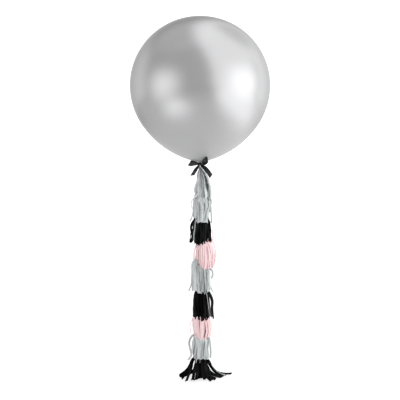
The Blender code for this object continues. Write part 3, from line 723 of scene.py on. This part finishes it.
# Loose strips of a tassel's own paper, and silver ones in the other tassels. Columns: tassel, width, then
# the places it passes: x from the cord, forwards from it, down from the balloon's middle. All in mm.
LOOSE_STRIPS = (
    (1, 12, (-5, 15, 538), (-13, 20, 599), (-30, 20, 645), (-33, 20, 670), (-21, 30, 707)),
    (1, 8, (-8, 34, 655), (-14, 52, 694), (-24, 57, 707), (-42, 52, 722), (-56, 45, 757), (-50, 45, 790)),
    (2, 13, (-14, 10, 680), (-41, 20, 765), (-45, 20, 816), (-51, 20, 842), (-67, 20, 872)),
    (2, 12, (14, 0, 680), (62, 8, 745), (72, 8, 820), (74, 8, 882)),
    (3, 18, (-12, 10, 826), (-34, 20, 858), (-50, 20, 882), (-57, 20, 908), (-53, 20, 938), (-48, 20, 966),
     (-54, 20, 987), (-64, 20, 1004)),
    (3, 15, (-12, 15, 826), (-28, 22, 852), (-38, 25, 878), (-41, 25, 908), (-43, 25, 946), (-42, 25, 972),
     (-50, 25, 993), (-60, 25, 1005)),
    (3, 6, (-12, 15, 826), (-34, 18, 858), (-52, 18, 890), (-57, 18, 930), (-61, 18, 960), (-67, 18, 1004)),
    (3, 18, (12, 10, 826), (44, 12, 850), (56, 14, 873), (61, 14, 903), (64, 14, 930), (64, 14, 958),
     (70, 14, 997)),
    (3, 12, (12, 14, 826), (38, 18, 848), (45, 20, 873), (47, 20, 896), (51, 20, 922), (56, 20, 955),
     (60, 20, 1000)),
    (4, 12, (-12, 10, 978), (-24, 14, 1019), (-36, 14, 1061), (-39, 14, 1085), (-38, 14, 1116)),
    (4, 10, (20, 0, 978), (84, 6, 1005), (99, 6, 1060), (98, 6, 1105), (90, 6, 1150)),
    (4, 11, (12, 0, 978), (52, 0, 1006), (78, 0, 1000), (84, 0, 972), (81, 0, 940), (78, 0, 922)),
    (5, 17, (-5, 10, 1119), (-28, 24, 1114), (-44, 28, 1135), (-48, 28, 1200), (-44, 28, 1312)),
    (5, 20, (-3, 14, 1119), (-16, 34, 1118), (-29, 44, 1140), (-33, 46, 1200), (-30, 46, 1308)),
    (5, 8, (-12, 10, 1130), (-49, 10, 1175), (-54, 14, 1225), (-58, 14, 1280), (-72, 14, 1314)),
    (5, 11, (12, 10, 1130), (55, 10, 1168), (77, 16, 1185), (81, 16, 1213), (72, 16, 1236)),
    (5, 14, (12, 20, 1132), (54, 24, 1180), (60, 26, 1244), (66, 26, 1286), (85, 26, 1320)),
    (6, 17, (12, 10, 1280), (59, 12, 1335), (76, 14, 1383), (73, 14, 1430), (78, 14, 1480)),
    (6, 12, (12, 10, 1280), (62, 16, 1328), (82, 18, 1380), (80, 18, 1420), (86, 18, 1492)),
    (7, 6, (-10, 0, 1430), (-48, 6, 1496), (-64, 6, 1535), (-62, 6, 1567), (-56, 6, 1593)),
    (8, 13, (-14, 10, 1584), (-52, 10, 1605), (-68, 14, 1640), (-63, 14, 1687), (-56, 14, 1716)),
    (8, 13, (-12, 20, 1584), (-41, 24, 1628), (-49, 26, 1691), (-58, 26, 1728), (-75, 26, 1755)),
    (8, 11, (12, 10, 1584), (55, 14, 1612), (66, 16, 1668), (68, 16, 1713), (66, 16, 1742)),
    (9, 19, (-12, 4, 1732), (-40, 6, 1749), (-50, 8, 1774), (-54, 12, 1800), (-63, 40, 1822),
     (-86, 122, 1868)),
    (9, 20, (-8, 6, 1734), (-20, 14, 1752), (-26, 20, 1778), (-36, 30, 1820), (-42, 58, 1852),
     (-48, 94, 1868)),
    (9, 22, (8, 6, 1734), (24, 14, 1752), (34, 16, 1776), (48, 12, 1806), (62, 8, 1832), (92, 0, 1855),
     (142, -6, 1868)),
    (9, 30, (6, 10, 1734), (14, 26, 1756), (24, 38, 1800), (44, 62, 1842), (76, 106, 1868)),
    (9, 22, (-12, 2, 1734), (-44, 0, 1755), (-62, -2, 1794), (-80, -8, 1823), (-132, -20, 1868)),
    (9, 20, (-10, 6, 1734), (-40, 10, 1752), (-58, 16, 1786), (-76, 28, 1824), (-118, 40, 1868)),
    (9, 14, (10, 0, 1735), (38, 6, 1752), (54, 4, 1775), (74, -6, 1803), (104, -26, 1838), (163, -66, 1862),
     (206, -98, 1868)),
    (9, 16, (10, 6, 1735), (38, 10, 1752), (56, 10, 1778), (76, 4, 1810), (108, -4, 1845),
     (150, -12, 1868)),
    (9, 21, (-8, 2, 1734), (-20, 6, 1756), (-27, 4, 1790), (-40, 0, 1826), (-80, -8, 1852),
     (-124, -14, 1868)),
)
SILVER_STRIPS = (
    (3, 10.5, (-12, 18, 826), (-27, 42, 860), (-31, 44, 892), (-34, 44, 925), (-38, 44, 950),
     (-39, 44, 985)),
    (6, 10.5, (12, 18, 1280), (42, 50, 1331), (50, 53, 1382), (58, 52, 1439), (62, 50, 1487)),
    (9, 10.5, (10, -4, 1735), (40, 0, 1754), (60, -2, 1778), (84, -10, 1812), (124, -22, 1846),
     (170, -34, 1868)),
)
# Where the lowest tassel's strips end on the floor. Columns: direction at the stem in degrees, then x,
# y and the strip's width in mm.
GROUND_TIPS = (
    (256, -30, -98, 22), (272, -8, -60, 24), (286, 32, -78, 24), (300, 100, -64, 22), (14, 150, 80, 18),
    (30, 124, 116, 18), (50, 76, 96, 20), (66, 58, 128, 20), (84, 20, 112, 22), (98, -12, 128, 20),
    (110, -36, 106, 20), (140, -72, 112, 18), (150, -92, 88, 20), (166, -120, 62, 18),
)
# How far out the inner strips lie, and the reach at which a strip has its full bulge.
INNER_REACH = 0.45
FULL_BULGE = 0.09
# How a strip on the ground runs. Columns: share of its reach, plus metres, height, share of its turn.
GROUND_LINE = (
    (0.0, 0.008, -1.727, 0.0),
    (0.0, 0.032, -1.74, 0.0),
    (0.08, 0.05, -1.772, 0.0),
    (0.3, 0.036, -1.822, 0.3),
    (0.66, 0.014, -1.856, 0.8),
    (1.0, 0.0, -1.868, 1.0),
)


def tissue(name, light, dark, rarity, fold, glow, **constants):
    """Thin paper. Each strip has its own shade, with soft bands and lines along it: partly the paper's own
    uneven tone, partly painted highlights and sheen in the light shade and painted shade of the folds in the
    dark one.

    The share of the light shade is (0.45 strip + 0.30 band + 0.25 line) ^ rarity.
    """
    made = Finish(name, **constants)
    strip = made.add("Attribute", "Fac", {"attribute_name": "strip"})
    band = made.noise(45.0, 1.0, stretch=(1.0, 1.0, 0.12))
    line = made.noise(170.0, 1.0, stretch=(1.0, 1.0, 0.06))
    share = (0.45 * strip + 0.3 * band.smooth(0.35, 0.65) + 0.25 * line.smooth(0.3, 0.7)) ** rarity
    # Painted light and shade: the light colour stands in for highlights and sheen, the dark one for shade in
    # the folds.
    made.feed("Base Color", made.mix(share, dark, light))
    made.feed("Roughness", constants["roughness"] + 0.12 * (band - 0.5))
    made.bump(band, fold, 0.5)
    if glow:
        through_light = made.add("BsdfTranslucent", values={"Color": (*light, 1.0)})
        lit = Number(made.tree, made.shader.outputs[0])
        both = made.add("MixShader", values={0: glow, 1: lit, 2: through_light})
        plug(made.tree, made.tree.nodes["Material Output"].inputs["Surface"], both)
    return made


# Columns: material, light and dark shade, how rare the light shade is, depth of the folds, share of
# light that comes through, the shader's constants. The light shade holds painted highlights and sheen,
# the dark shade painted shade in the folds.
TISSUES = {
    "silver": tissue(
        "silver_tissue", (0.74, 0.77, 0.77), (0.2, 0.22, 0.22), 1.0, 0.001, 0.2,
        roughness=0.45, metallic=0.35,
    ),
    "black": tissue(
        "black_tissue", (0.034, 0.034, 0.035), (0.0004, 0.0004, 0.0004), 3.0, 0.0006, 0.0,
        roughness=0.7, specular_ior_level=0.02,
    ),
    "pink": tissue(
        "pink_tissue", (0.91, 0.73, 0.74), (0.78, 0.54, 0.56), 1.0, 0.0006, 0.25,
        roughness=0.7, specular_ior_level=0.2,
    ),
}


def through(places):
    """A smooth line through some places: a cubic between each two, with the slope of its neighbours."""
    knots = run_so_far(places)
    slopes = np.gradient(places, knots, axis=0)
    at = np.linspace(0, knots[-1], STRIP_ROWS)
    i = np.clip(np.searchsorted(knots, at, side="right") - 1, 0, len(knots) - 2)
    step = (knots[i + 1] - knots[i])[:, None]
    s = (at - knots[i])[:, None] / step
    start = places[i] * (2 * s**3 - 3 * s**2 + 1) + slopes[i] * step * (s**3 - 2 * s**2 + s)
    return start + places[i + 1] * (3 * s**2 - 2 * s**3) + slopes[i + 1] * step * (s**3 - s**2)


def cross_strips(middle, outward, width, twist, cup, slant):
    """Closed thin strips along many middle lines at once.

    The normal is outward, turned by twist about the run. A point is middle + side * s * width / 2
    + normal * (cup * width / 2 * (1 - s * s) + or - thickness / 2) + run * s * slant, where s runs from
    -1 to 1 across the strip.
    """
    run = unit(np.gradient(middle, axis=1))
    normal = unit(outward - run * (outward * run).sum(axis=-1, keepdims=True))
    side = np.cross(run, normal)
    cos, sin = np.cos(twist)[..., None], np.sin(twist)[..., None]
    normal, side = normal * cos + side * sin, side * cos - normal * sin
    s = np.linspace(-1, 1, STRIP_COLUMNS)
    half = (width / 2)[..., None]
    lift = (cup[..., None] * half * (1 - s * s))[..., None]
    sheet = middle[..., None, :] + side[..., None, :] * (half * s)[..., None] + normal[..., None, :] * lift
    sheet = sheet + run[..., None, :] * (slant[..., None] * s)[..., None]
    gap = normal[..., None, :] * STRIP_THICKNESS / 2
    return np.concatenate((sheet + gap, (sheet - gap)[..., ::-1, :]), axis=2)


def outline_at(number, share):
    """A hanging tassel's outline at a share of its length: middle x, half width and half depth in metres."""
    shares, left, right = np.array(REACHES[number - 1]).T
    left, right = (np.interp(share, shares / 100, side) / 1000 for side in (left, right))
    half = np.maximum((left + right) / 2 - 0.004, 0.004)
    # The first tassel is flat near its top, so that it swings behind the bow's tails.
    flat = 0.55 + 0.45 * smooth_step(share, 0.45, 0.85) if number == 1 else 1.0
    return (right - left) / 2, half, np.minimum(half, MOST_DEPTH) * flat


def hang(number, count, layer, sway_size, random):
    """Middle lines of one layer of a hanging tassel.

    A strip at angle a lies at middle + layer * (half width * cos a, half depth * sin a), with slow waves
    added, and is pushed out over the next tassel's shoulder.
    """
    _, top, length = TASSELS[number - 1]
    t = np.linspace(0, 1, STRIP_ROWS)[None, :]
    angle = (np.arange(count)[:, None] + random.uniform(-0.2, 0.2, (count, 1))) * 2 * np.pi / count
    angle = angle + random.uniform(0, 2 * np.pi) + 0.08 * random.normal(size=(count, 1)) * t**2
    hem_left, hem_middle, hem_right = np.array(HEMS[number - 1]) / 1000
    beside = np.cos(angle[:, :1])
    hem_side = np.where(beside > 0, hem_right, hem_left)
    ends = hem_middle + (hem_side - hem_middle) * beside**2
    ragged = RAGGED_FIRST if number == 1 else RAGGED
    ends = ends - ragged * random.random((count, 1)) ** 1.5 * layer
    depth = CROWN_DEPTH + (ends - CROWN_DEPTH) * t
    centre, half_width, half_depth = outline_at(number, depth / length)
    wave = 2 * np.pi * (random.uniform(0.5, 1.3, (count, 1)) * t + random.random((count, 1)))
    puff = 2 * np.pi * (random.uniform(0.6, 1.4, (count, 1)) * t + random.random((count, 1)))
    sway, swell = sway_size * t * np.sin(wave), sway_size * t * np.sin(puff)
    x = centre * (0.4 + 0.6 * layer) + (half_width * layer + swell) * np.cos(angle) - sway * np.sin(angle)
    y = (half_depth * layer + swell) * np.sin(angle) + sway * np.cos(angle)
    if number < len(TASSELS) - 1:
        below = (depth - top + TASSELS[number][1]) / TASSELS[number][2]
        centre, half_width, half_depth = outline_at(number + 1, np.maximum(below, 0.0))
        out = np.maximum(np.hypot((x - centre) / half_width, y / half_depth), 1e-6)
        push = np.where(below > 0.02, np.maximum(out, 0.97 + 0.07 * layer) / out, 1.0)
        x, y = centre + (x - centre) * push, y * push
    return np.stack((x, y + GARLAND_Y, top - depth), axis=-1)


def lie(share):
    """Middle lines of the lowest tassel's strips, which end at this share of the way to their tips."""
    start, x, y, _ = np.array(GROUND_TIPS, float).T
    x, y = x / 1000, y / 1000
    far = np.hypot(x, y) * share
    turn = (np.arctan2(y, x) - np.radians(start) + np.pi) % (2 * np.pi) - np.pi
    reach, extra, height, turned_share = np.array(GROUND_LINE).T
    lines = []
    for i in range(len(far)):
        radius = reach * far[i] + extra * min(1.0, far[i] / FULL_BULGE)
        angle = math.radians(start[i]) + turn[i] * turned_share
        places = np.stack((radius * np.cos(angle), radius * np.sin(angle) + GARLAND_Y, height), axis=-1)
        lines.append(through(places))
    return np.array(lines)


def curl(middle, outward, width, paper_name, random):
    """Strips along these lines, cupped, twisted and cut a little slanting as this paper does."""
    _, _, (least, most), twist, _ = PAPERS[paper_name]
    count = len(middle)
    t = np.linspace(0, 1, STRIP_ROWS)[None, :]
    width = width * (0.35 + 0.65 * smooth_step(t, 0.0, 0.2)) * random.uniform(0.85, 1.08, (count, 1))
    turn = twist * (0.4 * random.normal(size=(count, 1)) + random.normal(size=(count, 1)) * t**1.5)
    cup = random.uniform(least, most, (count, 1)) * (1 - 0.35 * t**3)
    slant = random.uniform(-0.4, 0.4, (count, 1)) * width * smooth_step(t, 0.85, 1.0)
    return cross_strips(middle, unit(outward), width, turn, cup, slant)


def add_shades(piece, shades):
    """Gives each point of the mesh its strip's shade, 0 dark and 1 light."""
    attribute = piece.data.attributes.new("strip", "FLOAT", "POINT")
    attribute.data.foreach_set("value", shades.astype(np.float32))


def add_strips(name, number, paper_name, strips, nodes, width, length):
    """One piece made of many strips, each with a shade of its own."""
    points = np.concatenate(strips)
    points[..., 2] = np.maximum(points[..., 2], FLOOR_Z + FLOOR_SEAT)
    sides = 2 * STRIP_COLUMNS
    faces = []
    for i in range(len(points)):
        faces += tube_faces(STRIP_ROWS, sides, i * STRIP_ROWS * sides)
    body, slot = f"tassel_{number}", paper_name + "_paper"
    piece = add_piece(name, points, TISSUES[paper_name], body, nodes, slot, 70.0, faces)
    # Painted shade: the lowest tassel's strips, lying in a heap on the glowing floor, get only the darker
    # half of the shades.
    lightest = 0.5 if number == len(TASSELS) else 1.0
    shades = np.random.default_rng(number).random(len(points)) * lightest
    add_shades(piece, np.repeat(shades, STRIP_ROWS * sides))


def loose(table, number, paper_name, random):
    """Width, length and points of each of this tassel's strips in a table."""
    for owner, width, *places in table:
        if owner == number:
            middle = through(np.array(places) * (1, -1, -1) / 1000) + GARLAND_LINE
            # Strips in a tassel of another paper are turned half edge on.
            across = math.copysign(1.6, places[-1][0]) if table is SILVER_STRIPS else 0.0
            outward = middle * (4.0, 0.0, 0.0) - (across, 1.0, 0.0)
            strip = curl(middle[None], outward[None], width / 1000, paper_name, random)
            yield width / 1000, float(run_so_far(middle)[-1]), strip


STEM_DEPTHS = (0, 0.0015, 0.004, 0.008, 0.011, 0.022)
STEM_RADII = (0.0045, 0.0066, 0.007, 0.0058, 0.005, 0.0048)
STEM_ROWS, STEM_COLUMNS, BORE_ROWS = 48, 48, 4
BORE_RADIUS = 0.0017
# Painted light: the stems get a light shade, which lifts the shade that falls on them under the bow and among
# the strips.
STEM_SHADE = 0.9


def add_twist(number):
    """The twisted stem: radius(z) * (1 + 0.09 cos(6 a + 2 pi z / 11 mm)) outside, a smooth bore inside."""
    paper_name, top, _ = TASSELS[number - 1]
    depth = np.linspace(0, TWIST_LENGTH, STEM_ROWS)
    radius = np.interp(depth, STEM_DEPTHS, STEM_RADII)
    angle = around(STEM_COLUMNS)
    ridge = 1 + 0.09 * np.cos(6 * angle[None, :] + 2 * np.pi * depth[:, None] / 0.011)
    outside = turned(radius, top - depth, STEM_COLUMNS)
    outside[..., :2] *= ridge[..., None]
    bore = np.linspace(TWIST_LENGTH, 0, BORE_ROWS)
    inside = turned(np.full(BORE_ROWS, BORE_RADIUS), top - bore, STEM_COLUMNS)
    points = np.concatenate((outside, inside, outside[:1])) + GARLAND_LINE
    faces = tube_faces(len(points), STEM_COLUMNS, caps=False)
    body, slot, paper = f"tassel_{number}", paper_name + "_paper", TISSUES[paper_name]
    piece = add_piece(body + "_stem", points, paper, body, [body + "_twist"], slot, faces=faces)
    add_shades(piece, np.full(points.size // 3, STEM_SHADE))


for number, (paper_name, _, length) in enumerate(TASSELS, 1):
    random = np.random.default_rng(40 + number)
    add_twist(number)
    strips, width = [], 0.0
    if number < len(TASSELS):
        counts, strip_width, _, _, sway_size = PAPERS[paper_name]
        for count, layer in zip(counts, LAYER_REACH):
            lines = hang(number, count, layer, sway_size, random)
            outward = (lines - GARLAND_LINE) * (1, 1, 0)
            strips.append(curl(lines, outward, strip_width, paper_name, random))
            width += count * strip_width * MEAN_WIDTH
    else:
        widths = np.array(GROUND_TIPS)[:, 3:] / 1000
        fallen = smooth_step(np.linspace(0, 1, STRIP_ROWS), 0.35, 0.7)[None, :, None]
        # The short inner strips stand only in front and behind, where they leave the gaps at the sides open.
        inner = np.abs(np.cos(np.radians(np.array(GROUND_TIPS)[:, 0]))) < 0.6
        for share, chosen in ((1.0, np.ones_like(inner)), (INNER_REACH, inner)):
            lines = lie(share)[chosen]
            outward = unit((lines - GARLAND_LINE) * (1, 1, 0)) * (1 - fallen)
            outward = outward + np.array((0.0, -0.6, 0.8)) * fallen
            strips.append(curl(lines, outward, widths[chosen], paper_name, random))
            width += float(widths[chosen].sum()) * MEAN_WIDTH
    for loose_width, _, strip in loose(LOOSE_STRIPS, number, paper_name, random):
        strips.append(strip)
        width += loose_width
    body = f"tassel_{number}"
    add_strips(body + "_strips", number, paper_name, strips, [body + "_fringe"], width, length)
    for loose_width, run, strip in loose(SILVER_STRIPS, number, "silver", random):
        add_strips(body + "_silver_strip", number, "silver", [strip], [], loose_width, run)
